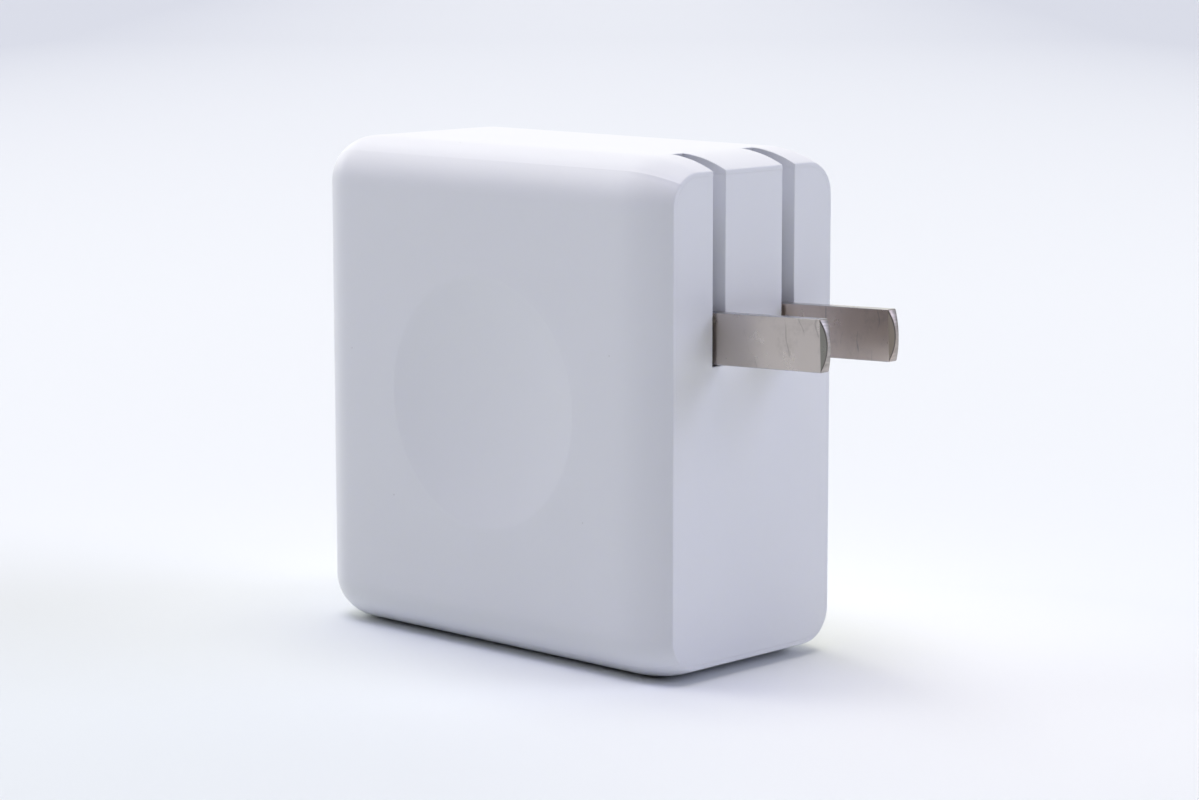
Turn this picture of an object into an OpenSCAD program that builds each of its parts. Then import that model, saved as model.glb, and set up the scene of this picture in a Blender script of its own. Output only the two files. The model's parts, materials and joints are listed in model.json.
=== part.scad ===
// Laptop power adapter: a square wall block with two fold-out blades and a USB-C outlet.
// +X is the blade end, Y runs through the thickness, Z is up.
// The origin is the centre of the narrow face that the block stands on.

/* [Case] */
// Depth of the case, from the outlet end to the blade end
body_d = 62.4; // [58:0.1:80]
// Thickness of the case
body_t = 32.4; // [31:0.1:44]
// Height of the case
body_h = 64; // [62:0.1:84]
// Rounding of the long edges and of the outlet end
edge_r = 5.9; // [5:0.1:8]
// Radius of the curve that draws the sides in towards the blade face
nose_r = 18.5; // [14:0.1:26]
// How far each side has drawn in at the blade face
nose_drop = 1.7; // [1:0.05:1.8]
// Wall of the case
wall = 2.2; // [2:0.05:2.6]
// Fit gap between the case mouth and the blade cover
seam_gap = 0.05; // [0.02:0.01:0.15]

/* [Dish] */
// Diameter of the shallow dish in the broad face
dish_d = 32; // [20:0.5:36]
// Depth of the dish at its centre
dish_depth = 1; // [0.2:0.05:1.2]

/* [Blades] */
// Distance between the centre planes of the two blades
blade_pitch = 12.7; // [12.7:0.1:13.5]
// Width of a blade
blade_w = 6.35; // [6:0.05:6.6]
// Thickness of a blade
blade_th = 1.5; // [1.3:0.05:1.7]
// Reach of a blade out of the blade face when it is square to it
blade_out = 17.3; // [15.9:0.1:17.6]
// Bulge of the rounded tip beyond its corners
tip_bulge = 0.8; // [0.4:0.1:1.4]
// How far each flat is bevelled away at the tip
tip_bevel = 0.47; // [0.2:0.01:0.6]
// Angle at which the open blades stand above square
rest_tilt = 2.2; // [0:0.1:3]

/* [Hinge] */
// Distance of the hinge axis below the top of the case
hinge_below_top = 22.1; // [22:0.1:26]
// Distance of the hinge axis behind the blade face
hinge_back = 4; // [4:0.1:4.6]
// Width of the slot that a blade folds into
slot_w = 2.25; // [2:0.05:2.6]
// Depth of the slot behind the blade face
slot_deep = 8; // [8:0.1:9]
// Radius of the rotor's journals
journal_r = 2; // [1.7:0.05:2]
// Radial clearance of the journals in their bearings
journal_gap = 0.05; // [0.02:0.01:0.1]
// Radius of the rotor's click cam
cam_r = 2.6; // [2.4:0.05:2.6]
// Half the distance across the cam's flats
cam_flat = 2.35; // [2.1:0.05:2.4]
// Square core of the rotor that carries a blade
core_sq = 2.8; // [2.2:0.1:2.8]
// Reach of a blade's contact tail behind the hinge axis
tail_out = 5.6; // [5:0.1:5.6]

/* [Blade cover] */
// Thickness of the blade cover's face plate
plate_th = 2.4; // [2:0.1:2.8]
// Wall of the pockets behind the slots
well_wall = 1.2; // [1:0.1:1.4]
// Thickness of the clamp that closes the bearings
clamp_th = 2; // [1.6:0.1:2.4]
// Distance of each clamp screw above and below the hinge axis
screw_z = 7.5; // [7.2:0.1:9]
// Radius of a clamp screw's shank
screw_r = 0.8; // [0.7:0.05:1]

/* [Outlet] */
// Width of the USB-C receptacle's shell
port_w = 8.94; // [8.94:0.01:9]
// Height of the USB-C receptacle's shell
port_h = 3.26; // [3.2:0.01:3.3]
// Length of the USB-C receptacle's shell
port_len = 7.35; // [7:0.05:9]
// How far the receptacle's mouth lies inside the end face
port_recess = 0.3; // [0.1:0.1:0.6]
// Gap between the receptacle and its hole in the case
port_gap = 0.15; // [0.1:0.05:0.3]

/* [Boards] */
// Thickness of the main circuit board
board_th = 1.6; // [1.2:0.1:2]
// Space between the main board and the broad wall behind it
board_back = 2.2; // [1.8:0.1:3]
// Gap between the main board's edges and the floor and roof of the case
board_edge = 1; // [0.8:0.1:1.4]
// Thickness of the outlet board
outlet_board_th = 1; // [0.8:0.1:1.2]
// Stand-off of a component from its board
stand_off = 0.1; // [0.05:0.05:0.3]

/* [Components] */
// Diameter of an input capacitor
bulk_d = 10; // [8:0.5:10]
// Length of an input capacitor
bulk_len = 21.5; // [16:0.5:21.5]
// Diameter of an output capacitor
out_cap_d = 8; // [6.3:0.1:8]
// Length of an output capacitor
out_cap_len = 12; // [9:0.5:16]
// Width of the transformer core across the case's depth
core_w = 25; // [20:0.5:25]
// Depth of the transformer core along the case's height
core_z = 21; // [18:0.5:21]
// Height of the transformer core off the board
core_h = 19.6; // [16:0.2:19.6]
// Outer radius of the choke's windings
choke_r = 6.6; // [5.6:0.1:6.6]

/* [Hidden] */
$fn = 96;

big = 200;
eps = 0.1;

// Case
face_x = body_d / 2;
end_x = -body_d / 2;
inner_r = edge_r - wall;
inner_y = body_t / 2 - wall;
inner_end_x = end_x + wall;
roof_z = body_h - wall;
dish_r = (dish_d * dish_d / 4 + dish_depth * dish_depth) / (2 * dish_depth);
// Rails that hold the main board, and where they stop
rib_t = 1;
rib_tall = 2.2;
rib_gap = 0.15;
rib_x1 = face_x - 22;

// Hinge
hinge_x = face_x - hinge_back;
hinge_z = body_h - hinge_below_top;
blade_y = blade_pitch / 2;
blade_r = blade_w / 2;
floor_gap = 0.08;
slot_floor_z = hinge_z - blade_r - floor_gap;
slot_back_x = face_x - slot_deep;
roof_lip_in = 0.55;
roof_lip_out = 1.15;
well_y_in = blade_y - slot_w / 2 - well_wall;
well_y_out = blade_y + slot_w / 2 + well_wall;
well_back_x = slot_back_x - well_wall;
plate_back_x = face_x - plate_th;
bearing_r = journal_r + journal_gap;
rotor_end = 1;
rotor_half = well_y_out + rotor_end;
tail_w = 2.6;
tail_reach = sqrt(tail_out * tail_out + tail_w * tail_w / 4);
tail_clear = 0.35;
tail_room = tail_reach + tail_clear;
tail_slack = 0.45;
contact_gap = 0.12;
window_inset = 0.05;
window_w = slot_w - window_inset;
cam_room = 0.2;
end_room = 0.3;

// Clamp and screws
clamp_x = well_back_x - clamp_th;
clamp_side = 0.6;
clamp_y = well_y_out + clamp_side;
clamp_end = 2.5;
boss_r = 2.25;
screw_head_r = 1.8;
screw_head_t = 1.4;
screw_len = 6;
screw_short = 0.4;
screw_gap = 0.05;
finger_gap = 0.05;
spring_th = 0.3;
spring_w = 5;
contact_th = 0.3;
contact_w = 1.8;
arm_w = 2;

// Boards
board_y = inner_y - board_back - board_th;
board_z0 = wall + board_edge;
board_z1 = roof_z - board_edge;
board_start = 2.5;
board_under_clamp = 0.5;
board_x0 = inner_end_x + board_start;
board_x1 = clamp_x + board_under_clamp;
seat_y = board_y - stand_off;
port_z = body_h / 2;
port_x0 = end_x + port_recess;
port_x1 = port_x0 + port_len;
port_wall = 0.3;
tongue_w = 6.69;
tongue_th = 0.7;
tongue_front = 0.5;
tongue_block = 2.6;
tongue_fit = 0.05;
outlet_gap = 0.4;
outlet_len = 15;
outlet_x0 = inner_end_x + outlet_gap;
outlet_x1 = outlet_x0 + outlet_len;
outlet_half = 12.5;
pin_pitch = 2.54;
outlet_y = port_h / 2;
outlet_seat_y = outlet_y - stand_off;

// Rows of components
row_gap = 0.3;
can_gap = 0.5;
top_row_z = board_z1 - rib_tall - bulk_d / 2 - row_gap;
front_col_in = 3.6;
front_col_x = clamp_x - front_col_in;
col_gap = 1.8;
bulk_pitch = bulk_d + can_gap;
bulk_x = front_col_x - col_gap - bulk_d / 2;
x_cap_t = 5.6;
x_cap_gap = 0.4;
x_cap_z = top_row_z - bulk_d / 2 - x_cap_gap - x_cap_t;

// Choke, and the parts that line up with it
choke_in = 3.6;
choke_h = 7.4;
choke_wide = 3.7;
wire_t = 0.7;
wire_gap = 0.05;
choke_x = board_x1 - choke_in - choke_r;
choke_z = board_z0 + rib_tall + choke_r + row_gap;
fuse_len = 10;
fuse_above = 1.6;
fuse_z = choke_z + choke_r + fuse_above;
sink_th = 1.2;
sink_w = 16.5;
sink_gap = 1;
sink_above = 9.4;
sink_x = choke_x - choke_r - sink_gap;
sink_z = board_z0 + rib_tall + sink_above;

// Transformer, between the outlet board and the clamp, and between the choke and the film capacitor
pad_gap = 0.1;
core_base = 2.8;
post_r = 4.6;
flange_r = 9.3;
flange_t = 0.8;
core_leg = 2.7;
bobbin_wall = 0.9;
bobbin_gap = 0.1;
bobbin_foot = 1.3;
tr_back = 3.2;
tr_stand = 1.5;
bobbin_half = core_z / 2 + bobbin_gap + bobbin_foot;
tr_free = x_cap_z - choke_z - choke_r - core_z / 2 - bobbin_half;
tr_share_below = 0.6;
tr_x = (outlet_x1 + clamp_x) / 2 - tr_back;
tr_z = choke_z + choke_r + tr_share_below * tr_free + core_z / 2;
tr_y1 = seat_y - tr_stand;
tr_y0 = tr_y1 - core_h;

// ---------- helpers ----------

// Rounded edge of a block as a 2D region: first axis outwards, second axis along the block.
module edge_band(s0, s1, r, bend_r, drop) {
    bend = drop > 0 ? sqrt(bend_r * bend_r - (bend_r - drop) * (bend_r - drop)) : 0;
    intersection() {
        translate([0, s0])
            square([r, s1 - s0]);
        union() {
            translate([0, s0 + r])
                circle(r);
            translate([0, s0 + r])
                square([r, s1 - s0 - r]);
        }
        union() {
            translate([0, s0])
                square([r, s1 - s0 - bend]);
            if (drop > 0)
                translate([r - bend_r, s1 - bend])
                    circle(bend_r, $fn = 240);
        }
    }
}

// Block from x0 to x1 with every edge rounded but those of its +X end,
// where the sides draw in by drop along an arc of radius bend_r.
module rounded_block(x0, x1, t, z0, z1, r, bend_r, drop) {
    mid_z = (z0 + z1) / 2;
    half_y = t / 2 - r;
    half_z = (z1 - z0) / 2 - r;
    translate([0, 0, mid_z]) {
        rotate([90, 0, 0])
            translate([0, 0, -half_y])
                linear_extrude(2 * half_y) {
                    translate([x0, -half_z])
                        square([x1 - x0, 2 * half_z]);
                    for (m = [0, 1])
                        mirror([0, m])
                            translate([0, half_z])
                                mirror([1, -1])
                                    edge_band(x0, x1, r, bend_r, drop);
                }
        for (m = [0, 1])
            mirror([0, m, 0])
                translate([0, half_y, -half_z])
                    linear_extrude(2 * half_z)
                        mirror([1, -1])
                            edge_band(x0, x1, r, bend_r, drop);
        for (my = [0, 1], mz = [0, 1])
            mirror([0, my, 0])
                mirror([0, 0, mz])
                    translate([0, half_y, -half_z])
                        rotate([0, 90, 0])
                            rotate_extrude(angle = 90)
                                edge_band(x0, x1, r, bend_r, drop);
    }
}

// Box given by its two corners.
module span(lo, hi) {
    translate(lo)
        cube(hi - lo);
}

// Cylinder along Y from y0 to y1.
module rod_y(x, z, r, y0, y1) {
    translate([x, y1, z])
        rotate([90, 0, 0])
            cylinder(h = y1 - y0, r = r);
}

// Cylinder along X from x0 to x1.
module rod_x(y, z, r, x0, x1) {
    translate([x0, y, z])
        rotate([0, 90, 0])
            cylinder(h = x1 - x0, r = r);
}

// Part that stands on a board at seat, with its low corner at x and z.
// Its size is along X, off the board and along Z.
module on_board(x, seat, z, size) {
    span([x, seat - size[1], z], [x + size[0], seat, z + size[2]]);
}

// Slab with fully rounded ends across Z, along X from x0 to x1.
module obround_x(w, h, x0, x1) {
    translate([x0, 0, port_z])
        rotate([90, 0, 90])
            linear_extrude(x1 - x0) {
                square([h, w - h], center = true);
                for (m = [-1, 1])
                    translate([0, m * (w - h) / 2])
                        circle(h / 2);
            }
}

// Places children on the blades' own lines, turned to the rest angle about the hinge.
module at_hinge() {
    translate([hinge_x, 0, hinge_z])
        rotate([0, -rest_tilt, 0])
            children();
}

// ---------- case ----------

module board_guides() {
    for (z = [[wall - eps, board_z0 + rib_tall], [board_z1 - rib_tall, roof_z + eps]]) {
        span([board_x0, board_y - rib_gap - rib_t, z[0]], [rib_x1, board_y - rib_gap, z[1]]);
        span([board_x0, board_y + board_th + rib_gap, z[0]],
             [rib_x1, board_y + board_th + rib_gap + rib_t, z[1]]);
    }
}

// Slot through the roof. Its end leans out over the corner of the folded blade.
module roof_slot(y) {
    lean = (roof_lip_out - roof_lip_in) / wall;
    low = slot_back_x + roof_lip_in - lean * eps;
    high = slot_back_x + roof_lip_out + lean * eps;
    translate([0, y + slot_w / 2, 0])
        rotate([90, 0, 0])
            linear_extrude(slot_w)
                polygon([[low, roof_z - eps], [face_x + eps, roof_z - eps],
                         [face_x + eps, body_h + eps], [high, body_h + eps]]);
}

module main_shell() {
    color("white")
    difference() {
        union() {
            difference() {
                rounded_block(end_x, face_x, body_t, 0, body_h, edge_r, nose_r, nose_drop);
                rounded_block(inner_end_x, face_x + eps, 2 * inner_y, wall, roof_z, inner_r, 1, 0);
            }
            board_guides();
        }
        for (y = [-blade_y, blade_y])
            roof_slot(y);
        obround_x(port_w + 2 * port_gap, port_h + 2 * port_gap, end_x - eps, inner_end_x + eps);
        translate([0, dish_depth - body_t / 2 - dish_r, body_h / 2])
            sphere(dish_r, $fn = 480);
    }
}

// ---------- blade cover ----------

module cover_outline() {
    half_y = inner_y - inner_r;
    z0 = wall + inner_r;
    z1 = roof_z - inner_r;
    r = inner_r - seam_gap;
    translate([-half_y - r, z0])
        square([2 * (half_y + r), z1 - z0]);
    translate([-half_y, z0 - r])
        square([2 * half_y, z1 - z0 + 2 * r]);
    for (y = [-half_y, half_y], z = [z0, z1])
        translate([y, z])
            circle(r);
}

module blade_cover() {
    well_top = roof_z - seam_gap;
    color("whitesmoke")
    difference() {
        union() {
            translate([plate_back_x, 0, 0])
                rotate([90, 0, 90])
                    linear_extrude(plate_th)
                        cover_outline();
            for (y = [-blade_y, blade_y])
                span([well_back_x, y - slot_w / 2 - well_wall, hinge_z - tail_room - well_wall],
                     [plate_back_x + eps, y + slot_w / 2 + well_wall, well_top]);
            for (s = [-1, 1])
                rod_x(0, hinge_z + s * screw_z, boss_r, well_back_x, plate_back_x + eps);
        }
        for (y = [-blade_y, blade_y]) {
            span([slot_back_x, y - slot_w / 2, slot_floor_z],
                 [face_x + eps, y + slot_w / 2, well_top + eps]);
            span([well_back_x - eps, y - slot_w / 2, hinge_z - tail_room],
                 [plate_back_x - eps, y + slot_w / 2, hinge_z + blade_r + tail_slack]);
            span([well_back_x - eps, y - slot_w / 2 - well_wall - eps, hinge_z - bearing_r],
                 [hinge_x, y + slot_w / 2 + well_wall + eps, hinge_z + bearing_r]);
        }
        rod_y(hinge_x, hinge_z, bearing_r, -well_y_out - eps, well_y_out + eps);
        rod_y(hinge_x, hinge_z, cam_r + cam_room, -well_y_in, well_y_in);
        for (y = [[well_y_out, rotor_half + end_room], [-rotor_half - end_room, -well_y_out]])
            rod_y(hinge_x, hinge_z, journal_r + end_room, y[0], y[1]);
        for (s = [-1, 1])
            rod_x(0, hinge_z + s * screw_z, screw_r + screw_gap,
                  well_back_x - eps, well_back_x + screw_len - clamp_th);
    }
}

// ---------- hinge ----------

module rotor_clamp() {
    color("gainsboro")
    difference() {
        union() {
            span([clamp_x, -clamp_y, hinge_z - screw_z - clamp_end],
                 [well_back_x, clamp_y, hinge_z + screw_z + clamp_end]);
            for (y = [-blade_y, blade_y], s = [-1, 1]) {
                mid = y + s * (slot_w + well_wall) / 2;
                span([well_back_x - eps, mid - well_wall / 2 + finger_gap, hinge_z - journal_r],
                     [hinge_x, mid + well_wall / 2 - finger_gap, hinge_z + journal_r]);
            }
        }
        rod_y(hinge_x, hinge_z, bearing_r, -well_y_out - eps, well_y_out + eps);
        for (y = [-blade_y, blade_y])
            span([clamp_x - eps, y - window_w / 2, hinge_z - tail_room],
                 [well_back_x + eps, y + window_w / 2, hinge_z + blade_r]);
        for (s = [-1, 1])
            rod_x(0, hinge_z + s * screw_z, screw_r + 4 * screw_gap, clamp_x - eps, well_back_x + eps);
    }
}

module clamp_screws() {
    cross_w = 0.5;
    cross_len = 2.2;
    cross_deep = 0.6;
    color("silver")
    for (s = [-1, 1])
        difference() {
            union() {
                rod_x(0, hinge_z + s * screw_z, screw_head_r, clamp_x - screw_head_t, clamp_x);
                rod_x(0, hinge_z + s * screw_z, screw_r,
                      clamp_x - eps, clamp_x + screw_len - screw_short);
            }
            for (a = [0, 90])
                translate([clamp_x - screw_head_t, 0, hinge_z + s * screw_z])
                    rotate([a, 0, 0])
                        cube([2 * cross_deep, cross_len, cross_w], center = true);
        }
}

module blade_rotor() {
    neck = blade_y - blade_th / 2;
    color("dimgray")
    at_hinge() {
        rod_y(0, 0, journal_r, -neck, neck);
        for (s = [-1, 1])
            mirror([0, (1 - s) / 2, 0]) {
                rod_y(0, 0, journal_r, neck + blade_th, rotor_half);
                span([-core_sq / 2, neck - eps, -core_sq / 2],
                     [core_sq / 2, neck + blade_th + eps, core_sq / 2]);
            }
        intersection() {
            rod_y(0, 0, cam_r, -well_y_in + end_room, well_y_in - end_room);
            cube([2 * cam_flat, big, 2 * cam_flat], center = true);
        }
    }
}

// One blade along +X, its eye round the hinge axis.
module blade(y) {
    tip_x = hinge_back + blade_out;
    tip_r = (blade_r * blade_r + tip_bulge * tip_bulge) / (2 * tip_bulge);
    bevel_a = atan(tip_bevel / tip_bulge);
    cutter = 4;
    cutter_back = 1;
    fit = 0.02;
    at_hinge()
        translate([0, y, 0])
            difference() {
                rotate([90, 0, 0])
                    translate([0, 0, -blade_th / 2])
                        linear_extrude(blade_th)
                            difference() {
                                union() {
                                    circle(blade_r);
                                    translate([-tail_out, -tail_w / 2])
                                        square([tail_out, tail_w]);
                                    translate([0, -blade_r])
                                        square([tip_x - tip_bulge, blade_w]);
                                    intersection() {
                                        translate([tip_x - 2 * tip_bulge, -blade_r])
                                            square([2 * tip_bulge, blade_w]);
                                        translate([tip_x - tip_r, 0])
                                            circle(tip_r);
                                    }
                                }
                                square(core_sq + 2 * fit, center = true);
                            }
                for (s = [0, 1])
                    mirror([0, s, 0])
                        translate([tip_x - tip_bulge, blade_th / 2, 0])
                            rotate([0, 0, -bevel_a])
                                translate([-cutter_back, 0, -blade_w])
                                    cube([cutter, cutter / 2, 2 * blade_w]);
            }
}

module line_blade() {
    color("silver")
        blade(-blade_y);
}

module neutral_blade() {
    color("silver")
        blade(blade_y);
}

module detent_spring() {
    rise = hinge_x - cam_r - cam_room - well_back_x;
    foot = 4.8;
    foot_len = 0.8;
    flat = 1.6;
    bend = 0.2;
    outer = [[rise, flat], [spring_th, foot - foot_len], [spring_th, foot], [0, foot]];
    inner = [[0, foot - foot_len - bend], [rise - spring_th, flat - bend]];
    half = concat(outer, inner);
    mirrored = [for (i = [len(half) - 1 : -1 : 0]) [half[i][0], -half[i][1]]];
    color("lightsteelblue")
    translate([well_back_x, spring_w / 2, hinge_z])
        rotate([90, 0, 0])
            linear_extrude(spring_w)
                polygon(concat(half, mirrored));
}

// Spring leaf behind a blade's tail, with an arm to the main board.
module contact(y, foot_drop) {
    front = hinge_x - tail_reach - contact_gap;
    back = clamp_x;
    sill = hinge_z - tail_room;
    above_clamp_end = 0.6;
    foot_z = hinge_z - screw_z - clamp_end + above_clamp_end - foot_drop;
    leaf = 1.6;
    lead_in = 1.2;
    lead_back = 0.2;
    bend = 0.1;
    leaf_front = [[front - lead_back, hinge_z + leaf + lead_in], [front, hinge_z + leaf],
                  [front, hinge_z - leaf],
                  [back + bend, sill + contact_th], [back, sill], [back, foot_z]];
    leaf_back = [[back - contact_th, foot_z], [back - contact_th, sill + contact_th + bend],
                 [front - contact_th, hinge_z - leaf + bend], [front - contact_th, hinge_z + leaf - bend],
                 [front - contact_th - lead_back, hinge_z + leaf + lead_in]];
    color("darkgoldenrod") {
        translate([0, y + contact_w / 2, 0])
            rotate([90, 0, 0])
                linear_extrude(contact_w)
                    polygon(concat(leaf_front, leaf_back));
        span([back - contact_th, y, foot_z], [back, seat_y, foot_z + arm_w]);
    }
}

module line_contact() {
    foot_drop = 3;
    contact(-blade_y, foot_drop);
}

module neutral_contact() {
    contact(blade_y, 0);
}

// ---------- outlet ----------

module usb_c_shell() {
    color("lightgray")
    difference() {
        obround_x(port_w, port_h, port_x0, port_x1);
        obround_x(port_w - 2 * port_wall, port_h - 2 * port_wall, port_x0 - eps, port_x1 + eps);
    }
}

module usb_c_tongue() {
    inset = 2 * (port_wall + tongue_fit);
    color("black") {
        obround_x(port_w - inset, port_h - inset, port_x1 - tongue_block, port_x1);
        span([port_x0 + tongue_front, -tongue_th / 2, port_z - tongue_w / 2],
             [port_x1 - tongue_block + eps, tongue_th / 2, port_z + tongue_w / 2]);
    }
}

module usb_c_contacts() {
    pads = 12;
    pitch = 0.5;
    pad_w = 0.25;
    pad_t = 0.05;
    pad_start = 0.4;
    color("gold")
    for (i = [0 : pads - 1], s = [-1, 1]) {
        z = port_z + (i - (pads - 1) / 2) * pitch;
        y = s * (tongue_th + pad_t) / 2;
        span([port_x0 + tongue_front + pad_start, y - pad_t / 2, z - pad_w / 2],
             [port_x1 - tongue_block - pad_t, y + pad_t / 2, z + pad_w / 2]);
    }
}

module outlet_board() {
    color("darkgreen")
        span([outlet_x0, outlet_y, port_z - outlet_half],
             [outlet_x1, outlet_y + outlet_board_th, port_z + outlet_half]);
}

module board_pins() {
    pins = 4;
    pin_t = 0.64;
    from_end = 3;
    from_side = 1.5;
    color("gold")
    for (s = [-1, 1], i = [0 : pins - 1]) {
        x = outlet_x1 - from_end - i * pin_pitch;
        z = port_z + s * (outlet_half - from_side);
        span([x, outlet_y + outlet_board_th, z - pin_t / 2], [x + pin_t, board_y, z + pin_t / 2]);
    }
}

module pd_controller() {
    size = [4, 0.8, 4];
    behind_port = 3;
    color("black")
        on_board(port_x1 + behind_port, outlet_seat_y, port_z - size[2] / 2, size);
}

module output_switch() {
    behind_port = 2.6;
    above_port = 5;
    color("black")
        on_board(port_x1 + behind_port, outlet_seat_y, port_z + above_port, [5, 1, 6]);
}

// ---------- main board ----------

module main_board() {
    color("darkgreen")
        span([board_x0, board_y, board_z0], [board_x1, board_y + board_th, board_z1]);
}

module insulation_sheet() {
    sheet_th = 0.4;
    inset_x = 2;
    inset_z = 5;
    color("ivory")
        span([board_x0 + inset_x, inner_y - sheet_th - stand_off, board_z0 + inset_z],
             [board_x1 - inset_x, inner_y - stand_off, board_z1 - inset_z]);
}

module thermal_pad() {
    inset = 1.5;
    color("lightslategray")
        span([tr_x - core_w / 2 + inset, pad_gap - inner_y, tr_z - core_z / 2 + inset],
             [tr_x + core_w / 2 - inset, tr_y0 - pad_gap, tr_z + core_z / 2 - inset]);
}

// Half of the transformer's core: base, round centre post and two outer legs.
module core_half() {
    leg = core_h / 2;
    translate([-core_w / 2, 0, -core_z / 2])
        cube([core_w, core_base, core_z]);
    for (s = [-1, 1])
        translate([s * (core_w - core_leg) / 2, leg / 2, 0])
            cube([core_leg, leg, core_z], center = true);
    rod_y(0, 0, post_r, 0, leg);
}

module transformer_core_front() {
    color("dimgray")
        translate([tr_x, tr_y0, tr_z])
            core_half();
}

module transformer_core_back() {
    color("dimgray")
        translate([tr_x, tr_y1, tr_z])
            mirror([0, 1, 0])
                core_half();
}

module transformer_bobbin() {
    y0 = tr_y0 + core_base + bobbin_gap;
    y1 = tr_y1 - core_base - bobbin_gap;
    tab = 5;
    foot_in = core_z / 2 + bobbin_gap;
    color("black")
    difference() {
        union() {
            rod_y(tr_x, tr_z, post_r + bobbin_wall, y0, y1);
            rod_y(tr_x, tr_z, flange_r, y0, y0 + flange_t);
            rod_y(tr_x, tr_z, flange_r, y1 - flange_t, y1);
            span([tr_x - tab, y1 - flange_t, tr_z - bobbin_half], [tr_x + tab, y1, tr_z + bobbin_half]);
            for (z = [tr_z - bobbin_half, tr_z + foot_in])
                span([tr_x - tab, y1 - flange_t, z], [tr_x + tab, seat_y, z + bobbin_foot]);
        }
        rod_y(tr_x, tr_z, post_r + bobbin_gap, y0 - eps, y1 + eps);
    }
}

module transformer_winding() {
    y0 = tr_y0 + core_base + flange_t + 2 * bobbin_gap;
    y1 = tr_y1 - core_base - flange_t - 2 * bobbin_gap;
    below_flange = 0.4;
    color("darkorange")
    difference() {
        rod_y(tr_x, tr_z, flange_r - below_flange, y0, y1);
        rod_y(tr_x, tr_z, post_r + bobbin_wall + bobbin_gap, y0 - eps, y1 + eps);
    }
}

module transformer_tape() {
    tape_w = 7;
    gap = 0.05;
    tape_t = 0.25;
    mid_y = (tr_y0 + tr_y1) / 2;
    color("gold")
    translate([tr_x, mid_y, tr_z])
        difference() {
            cube([core_w + 2 * (gap + tape_t), tape_w, core_z + 2 * (gap + tape_t)], center = true);
            cube([core_w + 2 * gap, tape_w + eps, core_z + 2 * gap], center = true);
        }
}

// Ring about Y, from radius r0 to r1, between y0 and y1, turning from start through sweep.
module ring_y(x, z, r0, r1, y0, y1, start, sweep) {
    translate([x, y1, z])
        rotate([90, start, 0])
            rotate_extrude(angle = sweep)
                translate([r0, 0])
                    square([r1 - r0, y1 - y0]);
}

module choke_core() {
    color("seagreen")
        ring_y(choke_x, choke_z, choke_r - choke_wide, choke_r - wire_t - wire_gap,
               seat_y - choke_h + wire_t + wire_gap, seat_y - wire_t - wire_gap, 0, 360);
}

module choke_windings() {
    first = 25;
    sweep = 130;
    color("peru")
    for (start = [first, first + 180])
        difference() {
            ring_y(choke_x, choke_z, choke_r - choke_wide - wire_t, choke_r,
                   seat_y - choke_h, seat_y, start, sweep);
            ring_y(choke_x, choke_z, choke_r - choke_wide - wire_gap, choke_r - wire_t,
                   seat_y - choke_h + wire_t, seat_y - wire_t, 0, 360);
        }
}

// Can capacitor standing on the board, top end rounded and grooved above its base.
module can(x, z, d, len) {
    r = d / 2;
    lip = 0.6;
    groove_z = 1.8;
    groove_out = 0.2;
    score_w = 0.3;
    score_len = 0.7;
    translate([x, seat_y, z])
        rotate([90, 0, 0])
            difference() {
                rotate_extrude()
                    difference() {
                        union() {
                            square([r, len - lip]);
                            square([r - lip, len]);
                            translate([r - lip, len - lip])
                                circle(lip, $fn = 32);
                        }
                        translate([r + groove_out, groove_z])
                            circle(lip, $fn = 32);
                        translate([-1, -1])
                            square([1, len + 2]);
                    }
                for (a = [0, 60, 120])
                    translate([0, 0, len])
                        rotate([0, 0, a])
                            cube([score_len * d, score_w, score_w], center = true);
            }
}

module bulk_capacitors() {
    color("midnightblue")
    for (i = [0 : 2])
        can(bulk_x - i * bulk_pitch, top_row_z, bulk_d, bulk_len);
}

module output_capacitors() {
    from_end = 0.9;
    bottom_z = board_z0 + rib_tall + can_gap + out_cap_d / 2;
    color("silver")
    for (z = [bottom_z, top_row_z])
        can(board_x0 + from_end + out_cap_d / 2, z, out_cap_d, out_cap_len);
}

module x_capacitor() {
    before_core = 5;
    color("gold")
        on_board(tr_x - before_core, seat_y, x_cap_z, [18, 12, x_cap_t]);
}

module y_capacitor() {
    disc_r = 3.5;
    disc_t = 4;
    below_row = 1.2;
    from_middle = 12.2;
    color("royalblue")
        translate([tr_x - from_middle, seat_y - disc_r, top_row_z - bulk_d / 2 - below_row - disc_t])
            cylinder(h = disc_t, r = disc_r);
}

module fuse() {
    fuse_r = 1.8;
    color("saddlebrown")
        translate([front_col_x, seat_y - fuse_r, fuse_z])
            cylinder(h = fuse_len, r = fuse_r);
}

module inrush_thermistor() {
    disc_r = 4;
    disc_t = 3.4;
    above_fuse = 3;
    color("darkolivegreen")
        rod_x(seat_y - disc_r, fuse_z + fuse_len + above_fuse + disc_r, disc_r,
              front_col_x - disc_t / 2, front_col_x + disc_t / 2);
}

module bridge_rectifier() {
    before_col = 1.4;
    below_top = 17;
    color("black")
        on_board(front_col_x - before_col, seat_y, board_z1 - below_top, [3.3, 11, 14]);
}

module primary_switch() {
    package = [10, 15, 4.4];
    lead_w = 0.8;
    lead_len = 2;
    from_sink_end = 3.5;
    x0 = sink_x - from_sink_end - package[0];
    mid_x = x0 + package[0] / 2;
    mid_z = sink_z - package[2] / 2;
    color("black") {
        on_board(x0, seat_y - lead_len, sink_z - package[2], package);
        for (i = [-1 : 1])
            on_board(mid_x + i * pin_pitch - lead_w / 2, seat_y, mid_z - lead_w / 2,
                     [lead_w, lead_len + eps, lead_w]);
    }
}

module primary_heatsink() {
    sink_h = 19;
    color("lightgray")
        on_board(sink_x - sink_w, seat_y, sink_z, [sink_w, sink_h, sink_th]);
}

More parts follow.
